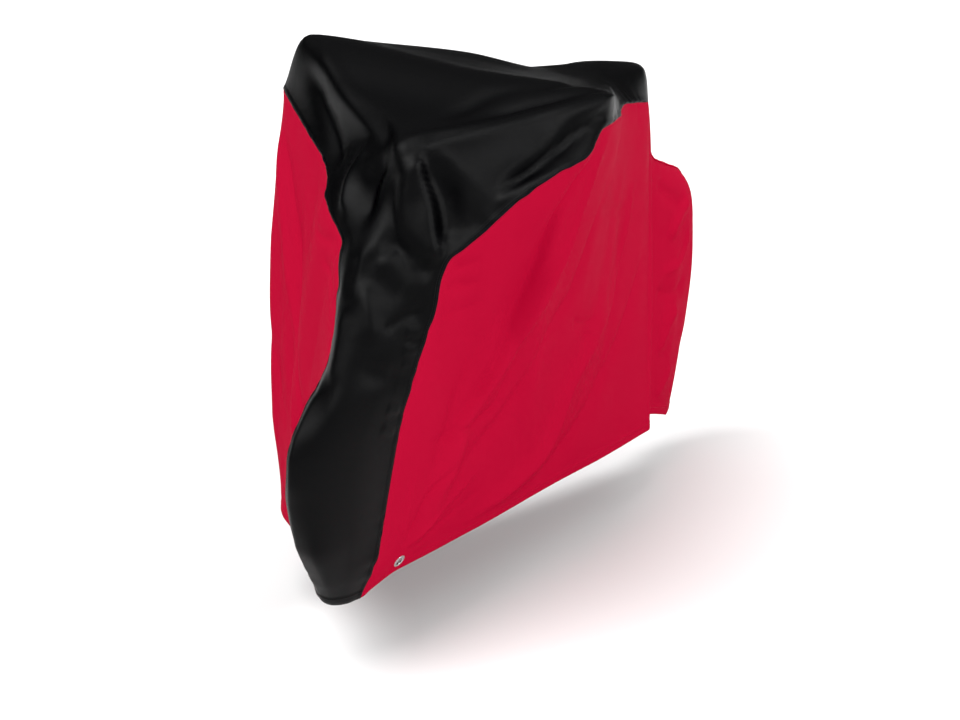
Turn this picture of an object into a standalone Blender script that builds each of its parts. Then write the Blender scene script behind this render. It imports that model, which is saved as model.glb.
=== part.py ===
"""Bicycle cover: a black centre panel between two red side panels.

The cover is hollow and open at its hem. All tables are in metres from a floor datum: X runs from
the front to the rear, -Y is the left side, Z is up. place() moves every point to the part's own
frame, whose origin is the underside of the top, where the cover is held up.
"""
import math
from collections import namedtuple

import bmesh
import bpy
from mathutils import Vector

# Driving sizes, metres
CLOTH = 0.0015          # thickness of the coated cloth
SEAM_GAP = 0.0004       # each panel stops this far from the seam line
REAR_GAP = 0.0012       # the same at the rear seam, where the panels meet at an angle
ROWS_PER_SECTION = 3    # mesh rows between two sections of the centre panel
REAR_PER_SECTION = 2    # mesh columns between two points of the rear seam
COLUMNS_PER_RAIL = 3    # mesh columns between two rails of the centre panel
FALL_ROWS = 12          # mesh rows from seam to hem on a side panel
PATCH_COLUMNS = (5, 7)  # columns of the side panel's grid that the eyelet patch takes
PATCH_ROWS = (9, 12)   # rows of that grid, down to the hem
EYELET_HOLE = 0.0080    # radius of the eyelet's clear hole
EYELET_RIM = 0.0130     # radius of its flange
EYELET_PLATE = 0.0006   # thickness of its flange
EYELET_SEAT = 0.0012    # from the cloth's faces to its flanges, on the slightly curved hem
EYELET_WALL = 0.0014    # wall of its barrel
EYELET_STEPS = 16       # steps round the eyelet
HOLE_SLACK = 0.0020     # the hole in the strip is this much wider than the clear hole
HOLE_STEPS = 20         # steps round that hole
HOLE_DEPTH = 0.0600     # length of the plug that cuts it
BELLY_TOP = 0.12        # how far down a side panel its upper roundness is greatest
FADE_END = 0.25         # share of a crease that is left at its ends
FADE_RATE = 3.0         # how fast it grows away from them
HELD_AT = Vector((0.86, -0.105, 0.9745))

# Centre panel, one row a section: right seam, right edge, crown, left edge, left seam
Section = namedtuple("Section", "name seam_r edge_r crown edge_l seam_l")
SECTIONS = (
    Section("hem", (-.177, -.016, .167), (-.180, -.029, .156), (-.172, -.043, .150),
            (-.150, -.058, .148), (-.124, -.066, .150)),
    Section("toe", (-.212, -.014, .232), (-.226, -.031, .226), (-.224, -.054, .221),
            (-.184, -.083, .221), (-.132, -.108, .228)),
    Section("low", (-.246, -.014, .300), (-.266, -.034, .293), (-.264, -.058, .288),
            (-.204, -.102, .295), (-.138, -.128, .312)),
    Section("shin", (-.296, -.036, .462), (-.308, -.050, .458), (-.294, -.080, .456),
            (-.228, -.130, .460), (-.148, -.164, .466)),
    Section("waist", (-.188, -.060, .618), (-.220, -.080, .615), (-.232, -.110, .615),
            (-.186, -.168, .622), (-.128, -.204, .628)),
    Section("neck", (-.125, -.046, .792), (-.146, -.078, .790), (-.150, -.116, .790),
            (-.128, -.176, .784), (-.096, -.234, .778)),
    Section("chest", (-.052, .032, .862), (-.086, -.082, .885), (-.096, -.138, .890),
            (-.078, -.190, .880), (-.062, -.276, .822)),
    Section("peak", (.006, .066, .908), (-.046, -.092, .964), (-.077, -.134, .961),
            (-.046, -.180, .958), (-.028, -.312, .866)),
    Section("brow", (.100, .180, .956), (.068, .052, 1.030), (.066, -.112, 1.010),
            (.064, -.285, .994), (.062, -.388, .932)),
    Section("shoulder", (.196, .274, .990), (.200, .216, 1.094), (.200, -.090, 1.055),
            (.193, -.397, 1.027), (.168, -.396, .981)),
    Section("behind", (.300, .222, .985), (.300, .170, 1.074), (.300, -.095, 1.040),
            (.300, -.346, 1.013), (.292, -.368, .972)),
    Section("span", (.500, .118, .955), (.500, .066, 1.036), (.500, -.100, 1.008),
            (.500, -.252, .994), (.500, -.272, .950)),
    Section("dip", (.660, .034, .928), (.660, -.018, .991), (.655, -.100, .990),
            (.650, -.176, .976), (.650, -.222, .930)),
    Section("slope", (.740, -.006, .922), (.740, -.056, .990), (.740, -.100, .993),
            (.740, -.142, .976), (.740, -.198, .922)),
    Section("rear_top", (.870, -.024, .906), (.880, -.054, .974), (.880, -.102, .979),
            (.880, -.148, .966), (.862, -.174, .904)),
    Section("rear_edge", (.950, -.058, .896), (.970, -.076, .948), (.988, -.102, .953),
            (.966, -.124, .943), (.945, -.138, .894)),
    Section("tail", (.964, -.066, .872), (.992, -.080, .884), (1.012, -.102, .886),
            (.990, -.120, .882), (.960, -.134, .870)),
)

# Rear seam, from the centre panel's tail down to the hem
RearPoint = namedtuple("RearPoint", "x y z")
REAR_SEAM = (
    RearPoint(1.012, -.102, .886), RearPoint(1.036, -.100, .800), RearPoint(1.070, -.097, .748),
    RearPoint(1.180, -.083, .710), RearPoint(1.322, -.062, .662), RearPoint(1.360, -.056, .598),
    RearPoint(1.378, -.052, .480), RearPoint(1.366, -.050, .330), RearPoint(1.326, -.050, .240),
    RearPoint(1.298, -.050, .176), RearPoint(1.308, -.050, .112),
)

# One row a fall of a side panel. at: the section, or past the last one the rear seam's point.
# hem_*: where the fall ends. belly: how far it stands out halfway. lead: how far it rounds out
# just under the seam.
Fall = namedtuple("Fall", "at hem_x hem_y hem_z belly lead")
LEFT_FALLS = (
    Fall(0, -.112, -.068, .151, .000, .000), Fall(1, -.062, -.080, .166, .004, .001),
    Fall(2, -.020, -.090, .174, .006, .002), Fall(3, .070, -.105, .176, .010, .004),
    Fall(4, .160, -.116, .177, .010, .006), Fall(5, .235, -.125, .178, .006, .008),
    Fall(7, .380, -.140, .180, -.010, .008), Fall(9, .500, -.147, .178, -.034, .006),
    Fall(10, .570, -.150, .175, -.026, .008), Fall(11, .700, -.155, .168, -.012, .008),
    Fall(13, .820, -.157, .163, -.006, .006), Fall(14, .905, -.158, .160, -.004, .004),
    Fall(15, .940, -.158, .158, .004, .003), Fall(16, .956, -.157, .157, .008, .003),
    Fall(17, .966, -.150, .156, .008, .003), Fall(18, .985, -.124, .155, -.006, .006),
    Fall(19, 1.030, -.098, .152, -.010, .010), Fall(20, 1.100, -.092, .140, .006, .020),
    Fall(21, 1.170, -.090, .120, .018, .030), Fall(22, 1.206, -.086, .108, .018, .026),
    Fall(23, 1.230, -.081, .100, .016, .024), Fall(24, 1.256, -.073, .096, .010, .018),
    Fall(25, 1.278, -.067, .098, .006, .010), Fall(26, 1.290, -.060, .102, .002, .004),
    Fall(27, 1.302, -.056, .106, .000, .002),
)
RIGHT_FALLS = (
    Fall(0, -.161, -.006, .164, .000, .000), Fall(1, -.124, .016, .167, .002, .000),
    Fall(2, -.082, .046, .170, .004, .002), Fall(3, -.034, .084, .173, .010, .006),
    Fall(4, .002, .126, .174, .016, .008), Fall(5, .030, .166, .175, .018, .008),
    Fall(6, .058, .200, .176, .020, .006), Fall(7, .088, .234, .177, .020, .002),
    Fall(8, .120, .258, .178, .018, -.002), Fall(9, .165, .272, .179, .018, -.006),
    Fall(10, .300, .250, .178, .014, .000), Fall(11, .540, .168, .176, .010, .006),
    Fall(13, .760, .094, .170, .004, .008), Fall(14, .880, .056, .163, .004, .006),
    Fall(15, .932, .046, .158, .006, .004), Fall(16, .955, .040, .157, .008, .003),
    Fall(17, .966, .032, .156, .008, .003), Fall(18, .990, .016, .155, .004, .006),
    Fall(19, 1.036, .004, .152, .004, .012), Fall(20, 1.100, -.004, .140, .008, .022),
    Fall(21, 1.170, -.008, .120, .022, .034), Fall(22, 1.210, -.012, .108, .028, .036),
    Fall(23, 1.236, -.018, .100, .028, .036), Fall(24, 1.262, -.026, .096, .020, .030),
    Fall(25, 1.278, -.033, .098, .010, .018), Fall(26, 1.290, -.040, .102, .003, .006),
    Fall(27, 1.302, -.044, .106, .000, .002),
)

# Main folds: a line through the cloth, how far it stands out (or in) and how wide it is
Crease = namedtuple("Crease", "name out width points")
CENTRE_CREASES = (
    Crease("fall_from_peak", .012, .017,
           ((-.075, -.150, .945), (-.086, -.148, .870), (-.094, -.176, .790), (-.104, -.214, .722))),
    Crease("hollow_left_of_fall", -.009, .026,
           ((-.050, -.215, .925), (-.062, -.225, .850), (-.080, -.228, .785))),
    Crease("hollow_right_of_fall", -.009, .028,
           ((-.050, -.040, .925), (-.090, -.072, .860), (-.125, -.080, .800))),
    Crease("ridge_to_peak", .007, .016,
           ((.150, -.350, 1.014), (.040, -.250, .995), (-.040, -.165, .978), (-.074, -.132, .962))),
    Crease("tuck_under_shoulder", -.010, .016,
           ((.165, -.395, 1.000), (.070, -.345, .945), (-.010, -.300, .890))),
    Crease("pull_on_top", -.005, .020,
           ((.240, -.340, 1.022), (.120, -.200, 1.020), (.020, -.150, .995))),
    Crease("arch_below_neck", -.008, .024,
           ((-.150, -.080, .760), (-.160, -.140, .745), (-.130, -.190, .710))),
    Crease("shin_dent", -.007, .022,
           ((-.200, -.095, .590), (-.200, -.150, .600), (-.150, -.190, .585))),
)
LEFT_CREASES = (
    Crease("shoulder_to_eyelet", .013, .034,
           ((.175, -.380, .930), (.170, -.290, .680), (.050, -.175, .400), (-.002, -.098, .215))),
    Crease("trough_before_it", -.009, .030,
           ((.085, -.370, .880), (.085, -.285, .680), (.020, -.205, .500), (-.020, -.130, .320))),
    Crease("rear_top_to_hem", .009, .040,
           ((.640, -.220, .800), (.585, -.205, .530), (.500, -.180, .400), (.420, -.155, .270),
            (.220, -.125, .195))),
    Crease("trough_behind_it", -.007, .036,
           ((.720, -.200, .700), (.690, -.185, .480), (.620, -.170, .300))),
    Crease("rear_pleat", -.008, .028,
           ((1.060, -.100, .680), (1.040, -.105, .450), (1.020, -.105, .200))),
    Crease("rear_roll", .006, .036,
           ((1.200, -.085, .640), (1.220, -.085, .450), (1.200, -.085, .230))),
)
RIGHT_CREASES = (
    Crease("shoulder_drop", .014, .036,
           ((.185, .295, .920), (.170, .300, .640), (.165, .285, .400), (.160, .262, .230))),
    Crease("hollow_before_it", -.010, .034,
           ((.080, .180, .860), (.060, .190, .620), (.040, .180, .380))),
    Crease("rear_top_to_hem", .009, .040,
           ((.560, .120, .850), (.500, .170, .560), (.420, .200, .300))),
    Crease("trough_behind_it", -.008, .040,
           ((.700, .060, .780), (.660, .110, .520), (.620, .140, .300))),
    Crease("rear_pleat", -.007, .028,
           ((1.060, -.080, .680), (1.050, -.020, .450), (1.040, .000, .220))),
)

BLACK = (0.012, 0.012, 0.014, 1.0)
RED = (0.470, 0.004, 0.026, 1.0)
STEEL = (0.420, 0.420, 0.430, 1.0)


def clear_scene():
    for item in list(bpy.data.objects):
        bpy.data.objects.remove(item, do_unlink=True)


def plain_material(name, colour, roughness, metallic=0.0):
    material = bpy.data.materials.new(name)
    material.use_nodes = True
    shader = material.node_tree.nodes["Principled BSDF"]
    shader.inputs["Base Color"].default_value = colour
    shader.inputs["Roughness"].default_value = roughness
    shader.inputs["Metallic"].default_value = metallic
    return material


def place(point):
    return point - HELD_AT


def slopes(knots, values):
    """Slopes of a smooth curve through the values that never overshoots them."""
    last = len(knots) - 1
    rise = [(values[i + 1] - values[i]) / (knots[i + 1] - knots[i]) for i in range(last)]
    inner = [0.0 if a * b <= 0 else 2 * a * b / (a + b) for a, b in zip(rise, rise[1:])]
    return [rise[0]] + inner + [rise[-1]]


def curve_value(knots, values, at):
    """The value of that curve at one place."""
    i = max(k for k in range(len(knots) - 1) if knots[k] <= at or k == 0)
    slope = slopes(knots, values)
    span = knots[i + 1] - knots[i]
    t = (at - knots[i]) / span
    rise = t * t * (3 - 2 * t)
    return (values[i] * (1 - rise) + values[i + 1] * rise
            + span * (slope[i] * t * (1 - t) ** 2 - slope[i + 1] * t * t * (1 - t)))


def curve_point(knots, points, at):
    return Vector([curve_value(knots, [p[axis] for p in points], at) for axis in range(3)])


def chord_knots(points):
    """Distances along a line of points, at least a little apart."""
    knots = [0.0]
    for a, b in zip(points, points[1:]):
        knots.append(knots[-1] + max((Vector(b) - Vector(a)).length, 0.002))
    return knots


def spread(points, steps):
    """The points of a smooth curve through the given ones, with so many steps between two."""
    knots = chord_knots(points)
    places = []
    for a, b in zip(knots, knots[1:]):
        places += [a + (b - a) * k / steps for k in range(steps)]
    return [curve_point(knots, points, at) for at in places + [knots[-1]]]


def centre_grid():
    """Rows of points across the centre panel, from the right seam to the left one."""
    rails = [spread([section[1 + rail] for section in SECTIONS], ROWS_PER_SECTION) for rail in range(5)]
    return [spread(row, COLUMNS_PER_RAIL) for row in zip(*rails)]


def side_edge(centre, side):
    """The side panel's upper edge: the seam, half of the tail's edge, and the rear seam."""
    middle = len(centre[0]) // 2
    last = len(centre[0]) - 1
    columns = range(last - 1, middle, -1) if side < 0 else range(1, middle)
    seam = [row[last if side < 0 else 0] for row in centre]
    return seam + [centre[-1][j] for j in columns] + spread(REAR_SEAM, REAR_PER_SECTION)


def edge_stations(count_seam, count_tail, count_rear):
    """The Fall.at value of each point of that edge."""
    sections = len(SECTIONS) - 1
    seam = [i / ROWS_PER_SECTION for i in range(count_seam)]
    tail = [sections + (k + 1) / (count_tail + 1) for k in range(count_tail)]
    rear = [sections + 1 + k / REAR_PER_SECTION for k in range(count_rear)]
    return seam + tail + rear


def roundness(v):
    """A bump over a fall that rises fast under the seam and dies away below."""
    return v / BELLY_TOP * math.exp(1 - v / BELLY_TOP)


def side_grid(centre, falls, side):
    """Columns of points down a side panel, each from its seam to its hem."""
    edge = side_edge(centre, side)
    tail = len(centre[0]) // 2 - 1
    stations = edge_stations(len(centre), tail, len(edge) - len(centre) - tail)
    knots = [fall.at for fall in falls]
    grid = []
    for top, at in zip(edge, stations):
        hem_x, hem_y, hem_z, belly, lead = (
            curve_value(knots, [fall[1 + k] for fall in falls], min(at, knots[-1])) for k in range(5))
        hem = Vector((hem_x, hem_y, hem_z))
        column = []
        for k in range(FALL_ROWS + 1):
            v = k / FALL_ROWS
            point = top.lerp(hem, v)
            point.y += side * (belly * math.sin(math.pi * v) + lead * roundness(v) * (1 - v))
            column.append(point)
        grid.append(column)
    return grid


def distance_to_line(point, points):
    """Distance to a line of points, and how far along it that is, from 0 to 1."""
    best = (math.inf, 0.0)
    for i, (a, b) in enumerate(zip(points, points[1:])):
        run = b - a
        t = min(1.0, max(0.0, (point - a).dot(run) / run.length_squared))
        gap = (point - a - run * t).length
        if gap < best[0]:
            best = (gap, (i + t) / (len(points) - 1))
    return best


def grid_normal(grid, i, j):
    along = grid[min(i + 1, len(grid) - 1)][j] - grid[max(i - 1, 0)][j]
    across = grid[i][min(j + 1, len(grid[0]) - 1)] - grid[i][max(j - 1, 0)]
    return along.cross(across).normalized()


def crease_grid(grid, creases, outward):
    """The same grid with each crease pushed out or in, fading at its ends and at the edges."""
    lines = [(crease, [Vector(p) for p in crease.points]) for crease in creases]
    result = [[point.copy() for point in row] for row in grid]
    for i in range(1, len(grid) - 1):
        for j in range(1, len(grid[0]) - 1):
            push = 0.0
            for crease, line in lines:
                gap, along = distance_to_line(grid[i][j], line)
                fade = min(1.0, FADE_END + FADE_RATE * min(along, 1 - along))
                push += crease.out * fade * math.exp(-(gap / crease.width) ** 2)
            edge = min(i, j, len(grid) - 1 - i, len(grid[0]) - 1 - j)
            result[i][j] += grid_normal(grid, i, j) * outward * push * min(1.0, edge / 2)
    return result


def pull(point, inner, gap):
    """The point, moved off a seam towards its inner neighbour."""
    step = inner - point
    return point + step.normalized() * min(gap, step.length / 3)


def sheet_object(name, grid, material, skip=None, flip=False):
    """A sheet of cloth from a grid of points, thickened outward."""
    mesh_builder = bmesh.new()
    verts = {}
    for i in range(len(grid) - 1):
        for j in range(len(grid[0]) - 1):
            if skip and skip(i, j):
                continue
            ring = ((i, j), (i + 1, j), (i + 1, j + 1), (i, j + 1))
            for key in ring:
                if key not in verts:
                    verts[key] = mesh_builder.verts.new(place(grid[key[0]][key[1]]))
            face = [verts[key] for key in ring]
            mesh_builder.faces.new(face[::-1] if flip else face)
    mesh = bpy.data.meshes.new(name)
    mesh_builder.to_mesh(mesh)
    mesh_builder.free()
    mesh.materials.append(material)
    mesh.shade_smooth()
    sheet = bpy.data.objects.new(name, mesh)
    thick = sheet.modifiers.new("cloth", "SOLIDIFY")
    thick.thickness = CLOTH
    thick.offset = 1.0
    thick.use_even_offset = False
    return sheet


def in_patch(i, j):
    return PATCH_COLUMNS[0] <= i < PATCH_COLUMNS[1] and PATCH_ROWS[0] <= j < PATCH_ROWS[1]


def patch_frame(grid, side):
    """Centre and outward direction of the eyelet patch."""
    i = sum(PATCH_COLUMNS) // 2
    j = sum(PATCH_ROWS) // 2
    normal = grid_normal(grid, i, j)
    if normal.y * side < 0:
        normal = -normal
    return grid[i][j].copy(), normal


def patch_object(name, grid, material, side):
    """The strip of hem that holds the eyelet, a little smaller than its place in the panel."""
    centre, normal = patch_frame(grid, side)
    columns = range(PATCH_COLUMNS[0], PATCH_COLUMNS[1] + 1)
    rows = range(PATCH_ROWS[0], PATCH_ROWS[1] + 1)
    patch = []
    for i in columns:
        column = []
        for j in rows:
            point = grid[i][j].copy()
            for edge, inner in ((PATCH_COLUMNS[0], 1), (PATCH_COLUMNS[1], -1)):
                if i == edge:
                    point += (grid[i + inner][j] - grid[i][j]).normalized() * 2 * SEAM_GAP
            if j == PATCH_ROWS[0]:
                point += (grid[i][j + 1] - grid[i][j]).normalized() * 2 * SEAM_GAP
            column.append(point)
        patch.append(column)
    strip = sheet_object(name, patch, material, flip=side < 0)
    cutter = bpy.data.meshes.new(name + "_hole")
    builder = bmesh.new()
    bmesh.ops.create_cone(builder, cap_ends=True, segments=HOLE_STEPS, depth=HOLE_DEPTH,
                          radius1=EYELET_HOLE + HOLE_SLACK, radius2=EYELET_HOLE + HOLE_SLACK)
    builder.to_mesh(cutter)
    builder.free()
    hole = bpy.data.objects.new(name + "_hole", cutter)
    hole.location = place(centre)
    hole.rotation_euler = normal.to_track_quat("Z", "Y").to_euler()
    hole.hide_render = True
    hole.display_type = "WIRE"
    cut = strip.modifiers.new("hole", "BOOLEAN")
    cut.object = hole
    cut.operation = "DIFFERENCE"
    return strip, hole


def eyelet_object(name, grid, material, side):
    """A pressed ring: a flange on each face of the strip and a barrel through its hole."""
    centre, normal = patch_frame(grid, side)
    face = CLOTH + EYELET_SEAT
    back = -EYELET_SEAT
    barrel = EYELET_HOLE + EYELET_WALL
    profile = ((EYELET_HOLE, face + EYELET_PLATE), (EYELET_RIM, face + EYELET_PLATE), (EYELET_RIM, face),
               (barrel, face), (barrel, back), (EYELET_RIM, back), (EYELET_RIM, back - EYELET_PLATE),
               (EYELET_HOLE, back - EYELET_PLATE))
    mesh = bpy.data.meshes.new(name)
    mesh.from_pydata([(r, 0.0, z) for r, z in profile],
                     [(k, (k + 1) % len(profile)) for k in range(len(profile))], [])
    mesh.materials.append(material)
    ring = bpy.data.objects.new(name, mesh)
    turn = ring.modifiers.new("turn", "SCREW")
    turn.steps = EYELET_STEPS
    turn.render_steps = EYELET_STEPS
    turn.use_merge_vertices = True
    turn.merge_threshold = 0.00005
    turn.use_normal_calculate = True
    turn.use_normal_flip = True
    ring.location = place(centre)
    ring.rotation_euler = normal.to_track_quat("Z", "Y").to_euler()
    return ring


def main():
    clear_scene()
    parts = bpy.data.collections.new("bicycle_cover")
    cutters = bpy.data.collections.new("cutters")
    bpy.context.scene.collection.children.link(parts)
    bpy.context.scene.collection.children.link(cutters)

    plain_centre = centre_grid()
    centre = crease_grid(plain_centre, CENTRE_CREASES, -1.0)
    centre[-1] = [pull(a, b, SEAM_GAP) for a, b in zip(centre[-1], centre[-2])]
    for row in centre:
        row[0] = pull(row[0], row[1], SEAM_GAP)
        row[-1] = pull(row[-1], row[-2], SEAM_GAP)
    black = plain_material("black_cloth", BLACK, 0.55)
    parts.objects.link(sheet_object("centre_panel", centre, black, flip=True))

    sides = (("left", -1, LEFT_FALLS, LEFT_CREASES), ("right", 1, RIGHT_FALLS, RIGHT_CREASES))
    for word, side, falls, creases in sides:
        red = plain_material("red_cloth_" + word, RED, 0.50)
        patch_red = plain_material("red_patch_" + word, RED, 0.50)
        steel = plain_material("eyelet_metal_" + word, STEEL, 0.35, 1.0)
        grid = crease_grid(side_grid(plain_centre, falls, side), creases, side)
        for i, column in enumerate(grid):
            gap = SEAM_GAP if i < len(centre) else REAR_GAP
            column[0] = pull(column[0], column[1], gap)
        parts.objects.link(sheet_object("side_panel_" + word, grid, red, skip=in_patch, flip=side < 0))
        strip, hole = patch_object("eyelet_strip_" + word, grid, patch_red, side)
        parts.objects.link(strip)
        cutters.objects.link(hole)
        parts.objects.link(eyelet_object("eyelet_" + word, grid, steel, side))


main()
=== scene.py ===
"""Looks of the bicycle cover: its three panels as fine sheets of coated cloth with their creases,
puckered seams, turned hems, stitching and eyelets, on the folds that the frame's solids have.

The tables are in metres from a floor datum: X runs from the front to the rear, -Y is the left
side, Z is up. HELD_AT moves them to the part's own frame.
"""

import math
from collections import namedtuple

import bmesh
import bpy
import numpy as np
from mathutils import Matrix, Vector


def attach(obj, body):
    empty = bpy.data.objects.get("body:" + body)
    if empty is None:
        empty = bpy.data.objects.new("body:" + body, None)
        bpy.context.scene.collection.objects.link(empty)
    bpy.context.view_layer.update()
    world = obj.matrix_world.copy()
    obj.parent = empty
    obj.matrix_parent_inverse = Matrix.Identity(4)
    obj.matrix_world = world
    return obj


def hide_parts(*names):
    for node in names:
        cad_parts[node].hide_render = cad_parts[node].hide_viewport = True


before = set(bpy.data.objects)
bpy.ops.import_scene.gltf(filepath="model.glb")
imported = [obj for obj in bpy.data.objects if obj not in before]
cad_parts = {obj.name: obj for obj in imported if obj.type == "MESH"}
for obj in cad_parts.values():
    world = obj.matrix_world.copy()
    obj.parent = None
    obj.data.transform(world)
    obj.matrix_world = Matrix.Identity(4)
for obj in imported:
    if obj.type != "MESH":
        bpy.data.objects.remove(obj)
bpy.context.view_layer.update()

# Driving sizes, metres
HELD_AT = np.array((0.86, -0.105, 0.9745))
CLOTH = 0.0015            # thickness of the coated cloth

# Points of the panels' grids
SPACING = 0.0085          # between two columns of a side panel
ROW_SPACING = 0.0070      # between two rows of the centre panel
ROW_GAP = 0.04            # stations between its hem rows and its other rows
CENTRE_COLUMNS = 76       # across the centre panel between its seam allowances
FALL_ROWS = 100           # down a side panel between its seam and its hem
TAIL_COLUMNS = 8          # of a side panel along the centre panel's tail
EYELET_COLUMNS = 37       # added around an eyelet
EYELET_REACH = 0.45       # stations that they cover on each side of it
SEAM_ROWS = (0.0, 0.001, 0.002, 0.003, 0.004, 0.006, 0.0075, 0.009, 0.012)   # beside a seam
HEM_ROWS = (0.030, 0.022, 0.020, 0.018, 0.016, 0.010, 0.004, 0.001, 0.0)   # above a hem
NARROW = 0.06             # where the centre panel is narrower, its seam rows are closer
SHORT = 0.10              # and where a fall is shorter, its seam and hem rows are

# Folds
WAVE_REACH = 0.040        # how far from a seam the cloth follows its wandering
BELLY_TOP = 0.12          # how far down a side panel its upper roundness is greatest
FADE_END = 0.25           # share of a main fold that is left at its ends
FADE_RATE = 3.0           # how fast it grows away from them
CREST = 0.003             # roundness of an extra fold's crest
FOLD_POWER = 1.3          # steepness of its flanks
FOLD_FADE = 0.22          # share of its length that each end takes to fade
FOLD_START = -0.05        # below 0, so a little is left at its end
FOLD_STEPS = 6            # straight bits between two of its places
SEAM_HOLD = 0.022         # folds are held down this far from a seam
HEM_HOLD = 0.050          # and this far from a hem
CENTRE_HEM_SHARE = 0.25   # share of a fold that is left at the centre panel's hem
SIDE_HEM_SHARE = 0.30     # and at a side panel's

# Sewn edges: doubled cloth of a width and rise that ends in a step, dips along lines of stitches,
# and a roll down at the edge itself
Edge = namedtuple("Edge", "wide rise step stitches dip dip_width roll roll_width")
HEM = Edge(.0210, .0011, .0020, (.016,), .0007, .0018, .0010, .0030)
FELL = Edge(.0085, .0007, .0016, (.002, .006), .0005, .0009, .0010, .0016)
GROOVE = Edge(.0, .0, .0010, (.004,), .0006, .0013, .0009, .0024)

# Ripples that a seam's thread draws into the cloth, and how their height swells
Ripple = namedtuple("Ripple", "share length phase")
RIPPLES = (Ripple(1.0, .046, 0.0), Ripple(0.7, .031, 1.3), Ripple(0.6, .083, 0.4))
SWELL = Ripple(0.45, .41, 0.7)
PUCKER_RISE = 0.00085
PUCKER_REACH = 0.020
PUCKER_POWER = 1.2

# Stitches and turned edges
STITCH = 0.0030           # length of a stitch
STITCH_STEP = 0.0040      # from one stitch to the next
STITCH_SINK = 0.0001      # how far its ends sink into the cloth
STITCH_SKIP = 3           # columns without stitches at the front hem's ends
STITCH_RINGS = ((-0.36, 0.8), (0.0, 1.0), (0.36, 0.8))   # place along it, thickness
STITCH_CORNERS = ((1, 0), (0, 1), (-1, 0), (0, -0.6))    # around each ring
THREAD = 0.0006           # thickness of the thread
THREAD_LIFT = CLOTH + THREAD / 4   # above the mesh
Bead = namedtuple("Bead", "width height")
SEAM_BEAD = Bead(0.0034, 0.0013)   # the dark edge along a black seam
REAR_BEAD = Bead(0.0085, 0.0026)   # the felled rear seam
BEAD_LIFT = CLOTH * 0.8
BEAD_STEP = 0.005
BEAD_SIDES = 12
WELD = 0.00001

# Eyelets
EYELET_AT = 2.0           # station on a side panel
EYELET_HOLE = 0.0080
EYELET_RIM = 0.0130
EYELET_STEPS = 64
BARREL = 0.0022           # how far the flange slopes down towards the hole
PRESSED = (0.001, 0.014)  # past the rim: where the cloth is still flat, and where it is free
OTHER_LAYER = 0.03        # cloth further than this from the eyelet's plane
FACE = CLOTH / 2

# Quarter turns of the ring's section: middle, half sizes, starting angle and points
Arc = namedtuple("Arc", "radius height wide tall start points")
EYELET_ARCS = (
    Arc(EYELET_RIM - .0006, FACE, .0006, .0006, 0, 13),
    Arc(EYELET_HOLE + BARREL, FACE - .0004, BARREL, .0018, 90, 9),
    Arc(EYELET_HOLE + .0012, .0002 - FACE, .0012, .0012, 180, 7),
)
WASHER = ((-.0010, -.0010), (-.0004, -.0006), (-.0004, .0))   # from the rim, on the back

# Finishes: two roughnesses, and the noises that colour and roughness follow from one value to the
# other (scale, detail, distortion)
Finish = namedtuple("Finish", "rough colour_noise rough_noise")
COATED = Finish((-0.05, 0.07), (5.0, 4.0, 0.3), (14.0, 3.0, 0.0))   # added to a cloth's own
BRUSHED = Finish((0.22, 0.42), (120.0, 4.0, 0.0), (400.0, 3.0, 0.0))
TWISTED = Finish((0.45, 0.65), (900.0, 2.0, 0.0), (700.0, 2.0, 0.0))
METAL_COLOURS = ((0.50, 0.50, 0.51), (0.34, 0.33, 0.33))
THREAD_SPECULAR = 0.2
THREAD_GLEAM = 1.6        # its lightest tone over its darkest
WEAVE_PITCH = 0.0009      # from one thread of the weave to the next
WEAVE_RELIEF = (0.5, 0.00016)   # strength and depth of a bump
COATING_RELIEF = (
    ((42.0, 3.0, 0.2), 0.35, 0.0006),   # small crinkles: noise, strength, depth
    ((7.0, 1.5, 0.3), 0.5, 0.003),      # soft crumples a hand's width apart
)

# Stage and camera
FLOOR_SIZE = 80
FLOOR_TONE = 0.75
FLOOR_ROUGH = 0.9
FLOOR_SPECULAR = 0.1
SKY_POLE = (-0.38, -0.36, 0.85)   # where the studio is brightest
SKY_LOW = 0.06            # its brightness away from there
SKY_HIGH = 0.92           # and there
BLACK_POINT = 0.0050      # the picture's darkest tone
WHITE_POINT = 0.84        # and its lightest
CAMERA_AT = (-2.926, -1.817, 1.591)
CAMERA_YAW = math.radians(28.24)
CAMERA_PITCH = math.radians(16.84)
CAMERA_LENS = 75.0        # mm
CAMERA_END = 200

Light = namedtuple("Light", "name comes_from softness power")
LIGHTS = (
    Light("front_light", (-0.50, 0.16, 0.85), 44, 2.8),
    Light("side_light", (-0.05, -0.85, 0.52), 9, 1.45),
)

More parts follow.
